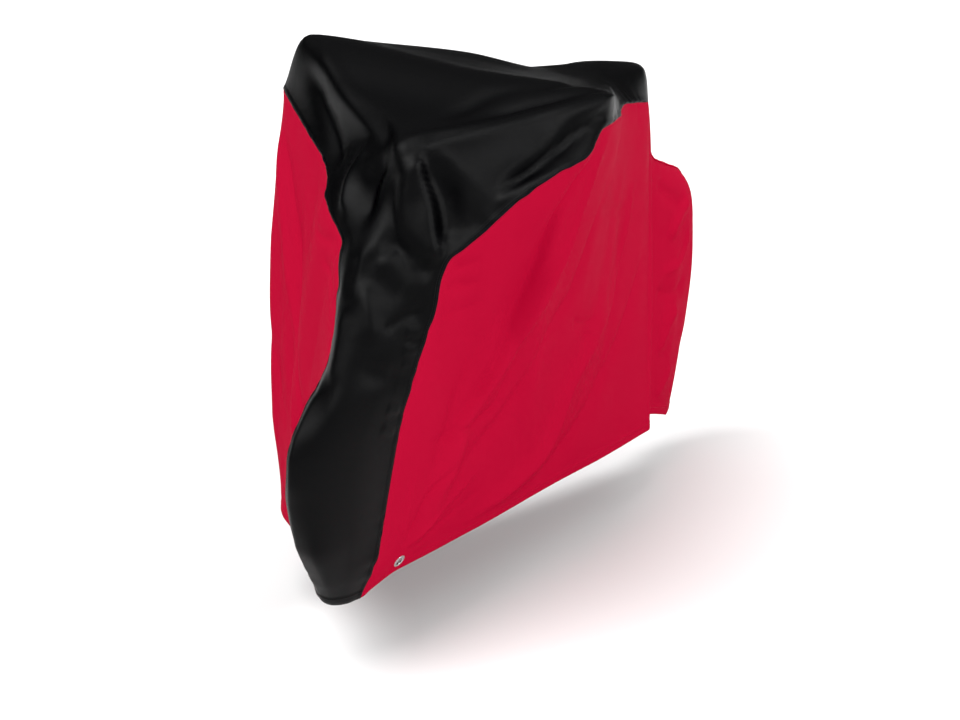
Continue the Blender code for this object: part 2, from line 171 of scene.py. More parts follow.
# Centre panel, one row a section: right seam, right edge, crown, left edge, left seam
Section = namedtuple("Section", "name seam_r edge_r crown edge_l seam_l")
SECTIONS = [Section(*row) for row in (
    ("hem", (-.177, -.016, .167), (-.180, -.029, .156), (-.172, -.043, .150),
     (-.150, -.058, .148), (-.124, -.066, .150)),
    ("toe", (-.212, -.014, .232), (-.226, -.031, .226), (-.224, -.054, .221),
     (-.184, -.083, .221), (-.132, -.108, .228)),
    ("low", (-.246, -.014, .300), (-.266, -.034, .293), (-.264, -.058, .288),
     (-.204, -.102, .295), (-.138, -.128, .312)),
    ("shin", (-.296, -.036, .462), (-.308, -.050, .458), (-.294, -.080, .456),
     (-.228, -.130, .460), (-.148, -.164, .466)),
    ("waist", (-.188, -.060, .618), (-.220, -.080, .615), (-.232, -.110, .615),
     (-.186, -.168, .622), (-.128, -.204, .628)),
    ("neck", (-.125, -.046, .792), (-.146, -.078, .790), (-.150, -.116, .790),
     (-.128, -.176, .784), (-.096, -.234, .778)),
    ("chest", (-.052, .032, .862), (-.086, -.082, .885), (-.096, -.138, .890),
     (-.078, -.190, .880), (-.062, -.276, .822)),
    ("peak", (.006, .066, .908), (-.046, -.092, .964), (-.077, -.134, .961),
     (-.046, -.180, .958), (-.028, -.312, .866)),
    ("brow", (.100, .180, .956), (.068, .052, 1.030), (.066, -.112, 1.010),
     (.064, -.285, .994), (.062, -.388, .932)),
    ("shoulder", (.196, .274, .990), (.200, .216, 1.094), (.200, -.090, 1.055),
     (.193, -.397, 1.027), (.168, -.396, .981)),
    ("behind", (.300, .222, .985), (.300, .170, 1.074), (.300, -.095, 1.040),
     (.300, -.346, 1.013), (.292, -.368, .972)),
    ("span", (.500, .118, .955), (.500, .066, 1.036), (.500, -.100, 1.008),
     (.500, -.252, .994), (.500, -.272, .950)),
    ("dip", (.660, .034, .928), (.660, -.018, .991), (.655, -.100, .990),
     (.650, -.176, .976), (.650, -.222, .930)),
    ("slope", (.740, -.006, .922), (.740, -.056, .990), (.740, -.100, .993),
     (.740, -.142, .976), (.740, -.198, .922)),
    ("rear_top", (.870, -.024, .906), (.880, -.054, .974), (.880, -.102, .979),
     (.880, -.148, .966), (.862, -.174, .904)),
    ("rear_edge", (.950, -.058, .896), (.970, -.076, .948), (.988, -.102, .953),
     (.966, -.124, .943), (.945, -.138, .894)),
    ("tail", (.964, -.066, .872), (.992, -.080, .884), (1.012, -.102, .886),
     (.990, -.120, .882), (.960, -.134, .870)),
)]

# Rear seam, from the centre panel's tail down to the hem: x, y, z
REAR_SEAM = (
    (1.012, -.102, .886), (1.036, -.100, .800), (1.070, -.097, .748),
    (1.180, -.083, .710), (1.322, -.062, .662), (1.360, -.056, .598),
    (1.378, -.052, .480), (1.366, -.050, .330), (1.326, -.050, .240),
    (1.298, -.050, .176), (1.308, -.050, .112),
)

# One row a fall of a side panel. at: the section, or past the last one the rear seam's point.
# hem_*: where the fall ends. belly: how far it stands out halfway. lead: how far it rounds out
# just under the seam.
Fall = namedtuple("Fall", "at hem_x hem_y hem_z belly lead")
LEFT_FALLS = [Fall(*row) for row in (
    (0, -.112, -.068, .151, .000, .000), (1, -.062, -.080, .166, .004, .001),
    (2, -.020, -.090, .174, .006, .002), (3, .070, -.105, .176, .010, .004),
    (4, .160, -.116, .177, .010, .006), (5, .235, -.125, .178, .006, .008),
    (7, .380, -.140, .180, -.010, .008), (9, .500, -.147, .178, -.034, .006),
    (10, .570, -.150, .175, -.026, .008), (11, .700, -.155, .168, -.012, .008),
    (13, .820, -.157, .163, -.006, .006), (14, .905, -.158, .160, -.004, .004),
    (15, .940, -.158, .158, .004, .003), (16, .956, -.157, .157, .008, .003),
    (17, .966, -.150, .156, .008, .003), (18, .985, -.124, .155, -.006, .006),
    (19, 1.030, -.098, .152, -.010, .010), (20, 1.100, -.092, .140, .006, .020),
    (21, 1.170, -.090, .120, .018, .030), (22, 1.206, -.086, .108, .018, .026),
    (23, 1.230, -.081, .100, .016, .024), (24, 1.256, -.073, .096, .010, .018),
    (25, 1.278, -.067, .098, .006, .010), (26, 1.290, -.060, .102, .002, .004),
    (27, 1.302, -.056, .106, .000, .002),
)]
RIGHT_FALLS = [Fall(*row) for row in (
    (0, -.161, -.006, .164, .000, .000), (1, -.124, .016, .167, .002, .000),
    (2, -.082, .046, .170, .004, .002), (3, -.034, .084, .173, .010, .006),
    (4, .002, .126, .174, .016, .008), (5, .030, .166, .175, .018, .008),
    (6, .058, .200, .176, .020, .006), (7, .088, .234, .177, .020, .002),
    (8, .120, .258, .178, .018, -.002), (9, .165, .272, .179, .018, -.006),
    (10, .300, .250, .178, .014, .000), (11, .540, .168, .176, .010, .006),
    (13, .760, .094, .170, .004, .008), (14, .880, .056, .163, .004, .006),
    (15, .932, .046, .158, .006, .004), (16, .955, .040, .157, .008, .003),
    (17, .966, .032, .156, .008, .003), (18, .990, .016, .155, .004, .006),
    (19, 1.036, .004, .152, .004, .012), (20, 1.100, -.004, .140, .008, .022),
    (21, 1.170, -.008, .120, .022, .034), (22, 1.210, -.012, .108, .028, .036),
    (23, 1.236, -.018, .100, .028, .036), (24, 1.262, -.026, .096, .020, .030),
    (25, 1.278, -.033, .098, .010, .018), (26, 1.290, -.040, .102, .003, .006),
    (27, 1.302, -.044, .106, .000, .002),
)]

# Main folds: a line through the cloth, how far it stands out (or in) and how wide it is
Crease = namedtuple("Crease", "name out width points")
CENTRE_CREASES = [Crease(*row) for row in (
    ("fall_from_peak", .012, .017,
     ((-.075, -.150, .945), (-.086, -.148, .870), (-.094, -.176, .790), (-.104, -.214, .722))),
    ("hollow_left_of_fall", -.009, .026,
     ((-.050, -.215, .925), (-.062, -.225, .850), (-.080, -.228, .785))),
    ("hollow_right_of_fall", -.009, .028,
     ((-.050, -.040, .925), (-.090, -.072, .860), (-.125, -.080, .800))),
    ("ridge_to_peak", .007, .016,
     ((.150, -.350, 1.014), (.040, -.250, .995), (-.040, -.165, .978), (-.074, -.132, .962))),
    ("tuck_under_shoulder", -.010, .016,
     ((.165, -.395, 1.000), (.070, -.345, .945), (-.010, -.300, .890))),
    ("pull_on_top", -.005, .020,
     ((.240, -.340, 1.022), (.120, -.200, 1.020), (.020, -.150, .995))),
    ("arch_below_neck", -.008, .024,
     ((-.150, -.080, .760), (-.160, -.140, .745), (-.130, -.190, .710))),
    ("shin_dent", -.007, .022,
     ((-.200, -.095, .590), (-.200, -.150, .600), (-.150, -.190, .585))),
)]
LEFT_CREASES = [Crease(*row) for row in (
    ("shoulder_to_eyelet", .013, .034,
     ((.175, -.380, .930), (.170, -.290, .680), (.050, -.175, .400), (-.002, -.098, .215))),
    ("trough_before_it", -.009, .030,
     ((.085, -.370, .880), (.085, -.285, .680), (.020, -.205, .500), (-.020, -.130, .320))),
    ("rear_top_to_hem", .009, .040,
     ((.640, -.220, .800), (.585, -.205, .530), (.500, -.180, .400), (.420, -.155, .270),
      (.220, -.125, .195))),
    ("trough_behind_it", -.007, .036,
     ((.720, -.200, .700), (.690, -.185, .480), (.620, -.170, .300))),
    ("rear_pleat", -.008, .028,
     ((1.060, -.100, .680), (1.040, -.105, .450), (1.020, -.105, .200))),
    ("rear_roll", .006, .036,
     ((1.200, -.085, .640), (1.220, -.085, .450), (1.200, -.085, .230))),
)]
RIGHT_CREASES = [Crease(*row) for row in (
    ("shoulder_drop", .014, .036,
     ((.185, .295, .920), (.170, .300, .640), (.165, .285, .400), (.160, .262, .230))),
    ("hollow_before_it", -.010, .034,
     ((.080, .180, .860), (.060, .190, .620), (.040, .180, .380))),
    ("rear_top_to_hem", .009, .040,
     ((.560, .120, .850), (.500, .170, .560), (.420, .200, .300))),
    ("trough_behind_it", -.008, .040,
     ((.700, .060, .780), (.660, .110, .520), (.620, .140, .300))),
    ("rear_pleat", -.007, .028,
     ((1.060, -.080, .680), (1.050, -.020, .450), (1.040, .000, .220))),
)]

# Extra creases, in a panel's own places. Side panels: station along the seam (as Fall.at) and the
# share of the fall. Centre panel: section and rail, counted from 0. near and far are the widths on
# the two sides of the line, so a fold can have one steep flank.
Fold = namedtuple("Fold", "name out near far places")
CENTRE_FOLDS = [Fold(*row) for row in (
    ("fall_crest", .015, .032, .009,
     ((6.80, 2.40), (6.5, 2.62), (5.92, 3.02), (5.32, 3.50), (4.95, 3.80))),
    ("fall_foot", -.008, .018, .010, ((6.7, 2.05), (5.85, 2.0), (5.2, 2.65), (4.75, 3.4))),
    ("left_of_fall", -.012, .014, .028, ((6.62, 2.85), (5.95, 3.30), (5.5, 3.70))),
    ("lip_to_shoulder", .008, .014, .010, ((6.9, 2.4), (7.1, 3.05), (7.96, 3.1), (8.88, 3.13))),
    ("under_shoulder", -.015, .012, .018, ((9.1, 3.42), (8.36, 3.62), (7.7, 3.72), (7.08, 3.80))),
    ("seam_lip", .005, .008, .008, ((6.9, 3.90), (7.28, 3.90), (7.66, 3.90))),
    ("top_pull_rear", -.007, .012, .014, ((8.6, 2.58), (9.3, 2.62), (11.4, 2.85), (13.0, 3.0))),
    ("top_pull_front", -.006, .010, .014, ((7.9, 2.66), (8.5, 2.80), (9.2, 2.95))),
    ("shoulder_facet", .013, .028, .014, ((8.75, 1.10), (7.84, .83), (6.9, 1.0))),
    ("shoulder_hollow", -.012, .016, .020, ((8.4, .62), (7.6, .34), (6.6, .24))),
    ("neck_hollow", -.010, .016, .016, ((6.72, 1.23), (6.1, 1.03), (5.5, 1.08))),
    ("neck_fold", .008, .009, .014, ((6.9, .75), (6.2, .50), (5.6, .40))),
    ("arch", -.010, .012, .012, ((4.90, 2.10), (5.22, 2.53), (5.0, 3.3), (4.74, 3.75))),
    ("arch_lip", .006, .010, .014, ((4.62, 1.75), (4.95, 1.70), (5.10, 2.05), (4.86, 2.60))),
    ("shin_curve", -.007, .009, .007, ((4.3, 2.8), (4.42, 3.25), (4.46, 3.80))),
    ("shin_patch", .006, .018, .014, ((4.75, 2.0), (4.5, 2.35), (4.2, 2.6))),
    ("shin_side", .006, .014, .016, ((4.5, 1.3), (4.15, 1.5), (3.8, 1.6))),
    ("pucker_a", .003, .005, .005, ((4.28, 3.35), (4.25, 3.62), (4.22, 3.90))),
    ("pucker_b", -.003, .004, .004, ((4.19, 3.40), (4.15, 3.64), (4.12, 3.90))),
    ("pucker_c", .003, .005, .005, ((4.10, 3.38), (4.06, 3.64), (4.02, 3.92))),
    ("pucker_d", .0025, .005, .004, ((3.93, 3.45), (3.90, 3.68), (3.86, 3.92))),
    ("pucker_e", .0025, .005, .004, ((3.72, 3.46), (3.68, 3.68), (3.64, 3.92))),
    ("pucker_f", .003, .006, .005, ((3.46, 3.42), (3.42, 3.66), (3.38, 3.92))),
    ("pucker_g", .003, .006, .006, ((3.26, 3.45), (3.18, 3.70), (3.14, 3.92))),
)]
LEFT_FOLDS = [Fold(*row) for row in (
    ("main_valley", -.0125, .015, .009,
     ((8.85, .03), (8.3, .07), (7.83, .12), (7.4, .27), (6.68, .38), (5.5, .47), (4.1, .46))),
    ("main_ridge", .0085, .009, .022,
     ((9.2, .03), (8.78, .10), (8.5, .18), (7.68, .30), (7.18, .40), (6.25, .46), (4.4, .52))),
    ("behind_ridge", -.008, .018, .024,
     ((10.0, .10), (10.0, .24), (9.4, .43), (8.1, .52), (7.2, .60), (5.2, .68), (3.4, .66))),
    ("second_ridge", .010, .026, .010,
     ((13.2, .22), (12.6, .36), (11.6, .51), (10.0, .69), (8.6, .85), (6.1, .92), (4.0, .94))),
    ("third_valley", -.008, .010, .030,
     ((14.0, .43), (12.7, .64), (10.6, .80), (9.0, .91), (6.6, .95))),
    ("under_belly", -.007, .008, .010, ((3.6, .34), (4.9, .57), (6.2, .57), (7.0, .49))),
    ("to_eyelet_a", -.005, .007, .006, ((2.3, .66), (3.1, .56), (4.2, .59))),
    ("to_eyelet_b", .005, .006, .008, ((2.35, .74), (3.4, .73), (5.1, .77))),
    ("to_eyelet_c", -.003, .006, .008, ((2.4, .80), (3.4, .82), (5.0, .85))),
    ("to_eyelet_d", .002, .006, .007, ((2.2, .60), (2.65, .40), (3.1, .31))),
    ("seam_ripple_a", -.0025, .006, .006, ((5.1, .02), (5.5, .05), (5.9, .06))),
    ("seam_ripple_b", -.0025, .006, .006, ((4.8, .03), (5.2, .09), (5.8, .13))),
    ("seam_ripple_c", -.0025, .007, .006, ((4.7, .08), (5.15, .17), (5.9, .19))),
    ("dimple_a", -.0045, .007, .006, ((9.6, .52), (10.1, .55), (10.6, .56))),
    ("dimple_b", -.0045, .006, .006, ((10.1, .58), (10.5, .60), (10.9, .61))),
    ("dimple_c", -.0040, .008, .006, ((9.9, .22), (11.2, .27), (12.5, .29))),
    ("rear_top_facet", -.008, .014, .016, ((19.2, .09), (20.0, .12), (20.7, .14))),
    ("rear_facet", .008, .012, .014, ((20.9, .11), (20.4, .20), (20.1, .30))),
    ("rear_curl", .0065, .010, .010, ((21.3, .19), (20.98, .31), (20.58, .39), (19.95, .44))),
    ("rear_band", -.008, .016, .016, ((19.8, .50), (20.5, .51), (22.0, .38))),
    ("rear_patch", .008, .014, .016, ((20.9, .55), (20.6, .60), (20.4, .68), (20.15, .76))),
    ("rear_foot", .004, .012, .014, ((21.5, .77), (20.8, .88), (20.4, .93))),
)]
RIGHT_FOLDS = [Fold(*row) for row in (
    ("main_ridge", .006, .020, .012,
     ((9.1, .05), (8.6, .18), (8.0, .34), (7.0, .52), (5.6, .70), (4.0, .84))),
    ("main_valley", -.006, .012, .016,
     ((8.7, .05), (8.1, .18), (7.4, .34), (6.3, .50), (4.9, .62))),
    ("second_ridge", .005, .024, .020,
     ((12.6, .16), (12.0, .36), (11.0, .55), (9.6, .72), (7.4, .88))),
    ("second_valley", -.005, .018, .024,
     ((10.4, .10), (10.3, .26), (9.8, .44), (8.6, .60), (6.8, .76))),
    ("to_eyelet_a", -.003, .007, .007, ((2.5, .70), (3.3, .60), (4.4, .58))),
    ("to_eyelet_b", .003, .007, .008, ((2.5, .78), (3.4, .74), (4.9, .74))),
    ("seam_ripple_a", -.0025, .007, .006, ((4.6, .03), (5.0, .09), (5.5, .12))),
    ("seam_ripple_b", -.0025, .007, .006, ((5.2, .02), (5.6, .07), (6.1, .10))),
    ("dimple_a", -.003, .008, .007, ((9.8, .36), (10.4, .40), (10.9, .41))),
    ("rear_facet", .005, .012, .014, ((20.9, .13), (20.4, .24), (20.1, .36))),
    ("rear_band", -.005, .016, .016, ((19.8, .48), (20.6, .50), (22.0, .40))),
    ("rear_patch", .005, .014, .016, ((21.0, .60), (20.6, .68), (20.3, .78))),
)]

# How far each seam wanders sideways, towards the centre panel: station along the seam, metres
LEFT_WAVES = (
    (0, 0), (.6, .002), (.95, .003), (1.25, 0), (2.75, 0), (3.1, .002), (3.4, .004), (3.8, .004),
    (4.2, 0), (4.45, -.006), (4.8, -.001), (5.2, 0), (5.5, -.002), (5.8, 0), (6.9, -.002),
    (7.2, .001), (7.5, .006), (7.75, .007), (8.0, 0), (8.25, -.012), (8.5, -.015), (8.75, -.012),
    (9.0, -.002), (9.5, .002), (10.0, .004), (10.5, -.002), (11.0, -.009), (11.5, 0), (12.1, .006),
    (13.0, 0), (16, 0),
)
RIGHT_WAVES = (
    (0, 0), (2.5, 0), (2.8, .009), (3.05, .007), (3.3, 0), (3.55, -.010), (3.8, -.008), (4.1, 0),
    (4.35, .002), (4.5, -.005), (4.63, .007), (4.78, -.003), (4.92, -.002), (5.05, .004),
    (5.25, -.001), (5.5, -.005), (5.8, -.001), (6.2, .006), (6.45, .008), (6.75, 0), (7.0, -.004),
    (7.25, -.008), (7.5, -.006), (7.8, 0), (8.25, .004), (8.6, .010), (8.8, .009), (9.05, 0),
    (16, 0),
)

LAST = len(SECTIONS) - 1
RIGHT_SEAM, RIGHT_EDGE, CROWN, LEFT_EDGE, LEFT_SEAM = RAILS = range(5)


# Curves

def slopes(knots, values):
    """Slopes of a smooth curve through the values that never overshoots them."""
    rise = np.diff(values, axis=0) / np.diff(knots)[:, None]
    product = rise[:-1] * rise[1:]
    total = rise[:-1] + rise[1:]
    inner = np.where(product > 0, 2 * product / np.where(total == 0, 1.0, total), 0.0)
    return np.vstack([rise[:1], inner, rise[-1:]])


def curve(knots, values, at):
    """Points of that curve at many places."""
    knots = np.asarray(knots, float)
    values = np.asarray(values, float)
    slope = slopes(knots, values)
    at = np.clip(np.asarray(at, float), knots[0], knots[-1])
    i = np.clip(np.searchsorted(knots, at, side="right") - 1, 0, len(knots) - 2)
    span = (knots[i + 1] - knots[i])[:, None]
    t = (at - knots[i])[:, None] / span
    rise = t * t * (3 - 2 * t)
    return (values[i] * (1 - rise) + values[i + 1] * rise
            + span * (slope[i] * t * (1 - t) ** 2 - slope[i + 1] * t * t * (1 - t)))


def chord_knots(points):
    """Distances along a line of points, at least a little apart."""
    steps = np.maximum(np.linalg.norm(np.diff(points, axis=0), axis=1), 0.002)
    return np.concatenate([[0.0], np.cumsum(steps)])


def along_line(points, stations):
    """Points of a smooth curve through the given ones, at places counted in those points."""
    points = np.asarray(points, float)
    knots = chord_knots(points)
    return curve(knots, points, np.interp(stations, np.arange(len(points)), knots))


def stations_between(points, spacing):
    """Places along a line of points, evenly spaced, counted in those points."""
    places = []
    for i, step in enumerate(np.diff(chord_knots(np.asarray(points, float)))):
        count = max(2, round(step / spacing))
        places += [i + k / count for k in range(count)]
    return np.array(places + [len(points) - 1])


def along_length(line):
    """Distances along a line of points."""
    return np.concatenate([[0], np.cumsum(np.linalg.norm(np.diff(line, axis=0), axis=1))])


def at_length(length, values, places):
    """Values at distances along a line, whose points lie at the given lengths."""
    return np.stack([np.interp(places, length, values[:, k]) for k in range(3)], axis=1)


def smoothstep(value, low, high):
    """Rises smoothly from 0 at low to 1 at high."""
    t = np.clip((value - low) / (high - low), 0, 1)
    return t * t * (3 - 2 * t)


def unit(vectors):
    """Vectors of length 1."""
    return vectors / np.linalg.norm(vectors, axis=1, keepdims=True)


# The plain surfaces, as in the frame's solids

def rail(number):
    """The line through the same point of every section."""
    return [section[1 + number] for section in SECTIONS]


def seam_rail(side):
    """The seam beside a side panel."""
    return rail(LEFT_SEAM if side < 0 else RIGHT_SEAM)


def centre_rows(rows):
    """The rail points of each row."""
    return np.stack([along_line(rail(k), rows) for k in RAILS], axis=1)


def centre_point(section, across):
    """A point of the centre panel, by its section and rail."""
    row = centre_rows(np.array([section]))[0]
    return along_line(row, np.array([across]))[0]


def station_at_length(length):
    """Stations of the centre panel at distances from its front hem."""
    return np.interp(length, chord_knots(np.array(rail(CROWN))), np.arange(len(SECTIONS)))


def side_edge(side, at):
    """The side panel's upper edge: the seam, half of the tail's edge, and the rear seam."""
    seam = along_line(seam_rail(side), np.clip(at, 0, LAST))
    half = np.clip(at - LAST, 0, 1) * CROWN
    tail = along_line(SECTIONS[LAST][1:], LEFT_SEAM - half if side < 0 else half)
    rear = along_line(REAR_SEAM, np.clip(at - LAST - 1, 0, len(REAR_SEAM) - 1))
    where = at[:, None]
    return np.where(where <= LAST, seam, np.where(where <= LAST + 1, tail, rear))


def side_surface(side, at, v):
    """Points of a side panel at a station and a share of its fall."""
    falls = LEFT_FALLS if side < 0 else RIGHT_FALLS
    knots = [fall.at for fall in falls]
    values = curve(knots, [fall[1:] for fall in falls], at)
    belly, lead = values[:, 3:].T
    top = side_edge(side, at)
    points = top + (values[:, :3] - top) * v[:, None]
    roundness = v / BELLY_TOP * np.exp(1 - v / BELLY_TOP)
    points[:, 1] += side * (belly * np.sin(np.pi * v) + lead * roundness * (1 - v))
    return points


def normals(grid, outward):
    """Unit normals of a grid of points, pointing out."""
    along = np.gradient(grid, axis=0)
    across = np.gradient(grid, axis=1)
    cross = np.cross(along, across)
    return outward * cross / np.maximum(np.linalg.norm(cross, axis=2, keepdims=True), 1e-12)


def seam_shift(side, at):
    """How far a seam wanders from its plain line at many stations."""
    waves = LEFT_WAVES if side < 0 else RIGHT_WAVES
    inner = LEFT_EDGE if side < 0 else RIGHT_EDGE
    spot = np.clip(at, 0, LAST)
    inward = unit(along_line(rail(inner), spot) - along_line(seam_rail(side), spot))
    knots, aside = zip(*waves)
    shift = curve(knots, np.array(aside)[:, None], spot)
    return inward * np.where(at[:, None] <= LAST, shift, 0.0)


# Folds

def line_field(points, normal, line):
    """Signed distance of each point from a line, and the place along it from 0 to 1."""
    best = np.full(points.shape[:-1], np.inf)
    along = np.zeros(points.shape[:-1])
    sign = np.ones(points.shape[:-1])
    for i, (a, b) in enumerate(zip(line, line[1:])):
        run = b - a
        t = np.clip((points - a) @ run / (run @ run), 0, 1)
        away = points - a - t[..., None] * run
        gap = np.linalg.norm(away, axis=-1)
        nearer = gap < best
        best = np.where(nearer, gap, best)
        along = np.where(nearer, (i + t) / (len(line) - 1), along)
        left = np.sum(np.cross(run, away) * normal, axis=-1)
        sign = np.where(nearer, np.where(left < 0, -1.0, 1.0), sign)
    return best * sign, along


def main_crease(points, normal, crease):
    """How far a main fold pushes each point, as in the frame's solids."""
    gap, along = line_field(points, normal, np.array(crease.points))
    fade = np.minimum(1.0, FADE_END + FADE_RATE * np.minimum(along, 1 - along))
    return crease.out * fade * np.exp(-(gap / crease.width) ** 2)


def crisp_fold(points, normal, line, fold):
    """How far an extra fold pushes each point: a narrow rounded crest with straighter flanks."""
    gap, along = line_field(points, normal, line)
    width = np.where(gap < 0, fold.near, fold.far)
    reach = (np.sqrt(gap ** 2 + CREST ** 2) - CREST) / width
    fade = smoothstep(np.minimum(along, 1 - along), FOLD_START, FOLD_FADE)
    return fold.out * fade * np.exp(-reach ** FOLD_POWER)


def push_out(grid, normal, creases, folds, place):
    """How far the main folds and the extra folds push each point."""
    push = np.zeros(grid.shape[:2])
    for crease in creases:
        push += main_crease(grid, normal, crease)
    for fold in folds:
        corners = np.array([place(*spot) for spot in fold.places])
        steps = len(corners) - 1
        line = along_line(corners, np.linspace(0, steps, steps * FOLD_STEPS + 1))
        push += crisp_fold(grid, normal, line, fold)
    return push


def hold_down(to_seam, to_hem, hem_share):
    """The share of a fold that a seam and a hem leave."""
    at_hem = hem_share + (1 - hem_share) * smoothstep(to_hem, 0.0, HEM_HOLD)
    return smoothstep(to_seam, 0.0, SEAM_HOLD) * at_hem


def edge_relief(away, edge):
    """How far a sewn edge stands out or sinks, at distances from it."""
    doubled = edge.rise * smoothstep(edge.wide - away, 0.0, edge.step)
    dips = edge.dip * sum(np.exp(-((away - line) / edge.dip_width) ** 2) for line in edge.stitches)
    roll = edge.roll * (1 - smoothstep(away, 0.0, edge.roll_width))
    return doubled - dips - roll


def wave(along, ripple):
    """One ripple along a seam."""
    return ripple.share * np.sin(along * 2 * np.pi / ripple.length + ripple.phase)


def pucker(along, away):
    """Small ripples that a seam's thread draws into the cloth, dying away from the seam."""
    height = sum(wave(along, ripple) for ripple in RIPPLES)
    strength = 1 - SWELL.share + wave(along, SWELL)
    return PUCKER_RISE * height * strength * np.exp(-(away / PUCKER_REACH) ** PUCKER_POWER)


# Grids of points

def centre_panel_grid():
    """Stations, plain points and distances from the middle line of the centre panel."""
    rows = stations_between(rail(LEFT_SEAM), ROW_SPACING)
    hem_rows = station_at_length(np.array(HEM_ROWS))
    rows = np.sort(np.concatenate([rows[rows > hem_rows[0] + ROW_GAP], hem_rows]))
    allowance = np.array(SEAM_ROWS)
    grid = []
    across = []
    for row in centre_rows(rows):
        knots = chord_knots(row)
        width = knots[-1]
        edge = allowance * min(1.0, width / NARROW)
        middle = np.linspace(edge[-1], width - edge[-1], CENTRE_COLUMNS)[1:-1]
        places = np.concatenate([edge, middle, width - edge[::-1]])
        grid.append(curve(knots, row, places))
        across.append(places - width / 2)
    grid = np.array(grid)
    across = np.array(across)
    half = np.abs(across[:, :1])
    for side in (-1, 1):
        reach = np.exp(-((half + side * across) / WAVE_REACH) ** 2)
        grid += seam_shift(side, rows)[:, None] * reach[..., None]
    return rows, grid, across


def side_panel_grid(side):
    """Stations, shares and metres of the fall, each fall's length, and plain points."""
    seam_at = stations_between(seam_rail(side), SPACING)
    tail_at = LAST + np.linspace(0, 1, TAIL_COLUMNS)[1:-1]
    rear_at = LAST + 1 + stations_between(REAR_SEAM, SPACING)
    eyelet_at = EYELET_AT + np.linspace(-EYELET_REACH, EYELET_REACH, EYELET_COLUMNS)
    at = np.unique(np.round(np.concatenate([seam_at, tail_at, rear_at, eyelet_at]), 4))
    top = side_surface(side, at, np.zeros(len(at)))
    hem = side_surface(side, at, np.ones(len(at)))
    length = np.linalg.norm(hem - top, axis=1)[:, None]
    closer = np.minimum(1.0, length / SHORT)
    upper = closer * SEAM_ROWS
    lower = closer * HEM_ROWS
    share = np.linspace(0, 1, FALL_ROWS)[1:-1]
    start = upper[:, -1:]
    end = length - lower[:, :1]
    middle = start + (end - start) * share
    down = np.concatenate([upper, middle, length - lower], axis=1)
    v = np.clip(down / length, 0, 1)
    flat_at = np.repeat(at[:, None], v.shape[1], axis=1)
    grid = side_surface(side, flat_at.ravel(), v.ravel()).reshape(v.shape + (3,))
    grid += seam_shift(side, at)[:, None] * np.exp(-(down / WAVE_REACH) ** 2)[..., None]
    return at, v, down, length, grid


# Meshes

def add_object(name, data, *materials):
    """A new object in the scene."""
    for material in materials:
        data.materials.append(material)
    item = bpy.data.objects.new(name, data)
    bpy.context.scene.collection.objects.link(item)
    return item


def grid_mesh(name, points, uv, skip=None, flip=False):
    """A mesh of quads from a grid of points, with the cloth's own metres as its UV."""
    count_i, count_j = points.shape[:2]
    index = np.arange(count_i * count_j).reshape(count_i, count_j)
    a, b = index[:-1, :-1], index[1:, :-1]
    c, d = index[1:, 1:], index[:-1, 1:]
    faces = np.stack([a, d, c, b] if flip else [a, b, c, d], axis=-1).reshape(-1, 4)
    if skip is not None:
        faces = faces[~skip.reshape(-1)]
    mesh = bpy.data.meshes.new(name)
    mesh.from_pydata((points.reshape(-1, 3) - HELD_AT).tolist(), [], faces.tolist())
    layer = mesh.uv_layers.new(name="cloth")
    corner_points = np.empty(len(mesh.loops), dtype=np.int32)
    mesh.loops.foreach_get("vertex_index", corner_points)
    layer.data.foreach_set("uv", uv.reshape(-1, 2)[corner_points].astype(np.float32).ravel())
    mesh.shade_smooth()
    return mesh


def cloth_object(name, mesh, material):
    """A panel, with its thickness outside the mesh."""
    item = add_object(name, mesh, material)
    thick = item.modifiers.new("cloth", "SOLIDIFY")
    thick.thickness = CLOTH
    thick.offset = 1.0
    thick.use_even_offset = False
    return item


def bead_object(name, line, normal, bead, material):
    """A low rounded edge of turned cloth that runs along a seam."""
    length = along_length(line)
    places = np.linspace(0, length[-1], max(2, int(length[-1] / BEAD_STEP)))
    centre = at_length(length, line, places)
    ahead = unit(np.gradient(centre, axis=0))
    aside = unit(np.cross(ahead, at_length(length, normal, places)))
    up = np.cross(aside, ahead)
    turns = np.linspace(0, 2 * math.pi, BEAD_SIDES + 1)
    rings = np.stack([centre + aside * (bead.width / 2 * math.cos(turn))
                      + up * (bead.height * math.sin(turn)) for turn in turns], axis=1)
    around = np.linspace(0, bead.width * 2, BEAD_SIDES + 1)
    uv = np.stack(np.meshgrid(places, around, indexing="ij"), axis=-1)
    mesh = grid_mesh(name, rings, uv)
    build = bmesh.new()
    build.from_mesh(mesh)
    bmesh.ops.remove_doubles(build, verts=build.verts, dist=WELD)
    open_edges = [edge for edge in build.edges if edge.is_boundary]
    bmesh.ops.holes_fill(build, edges=open_edges, sides=BEAD_SIDES)
    bmesh.ops.recalc_face_normals(build, faces=build.faces)
    build.to_mesh(mesh)
    build.free()
    return add_object(name, mesh, material)


def stitch_faces(first):
    """Faces of one stitch, whose corners start at the given number."""
    sides = len(STITCH_CORNERS)
    rings = [first + 1 + sides * k for k in range(len(STITCH_RINGS))]
    end = rings[-1] + sides
    faces = []
    for k in range(sides):
        after = (k + 1) % sides
        faces.append((first, rings[0] + after, rings[0] + k))
        for ring, following in zip(rings, rings[1:]):
            faces.append((ring + k, ring + after, following + after, following + k))
        faces.append((rings[-1] + k, rings[-1] + after, end))
    return faces


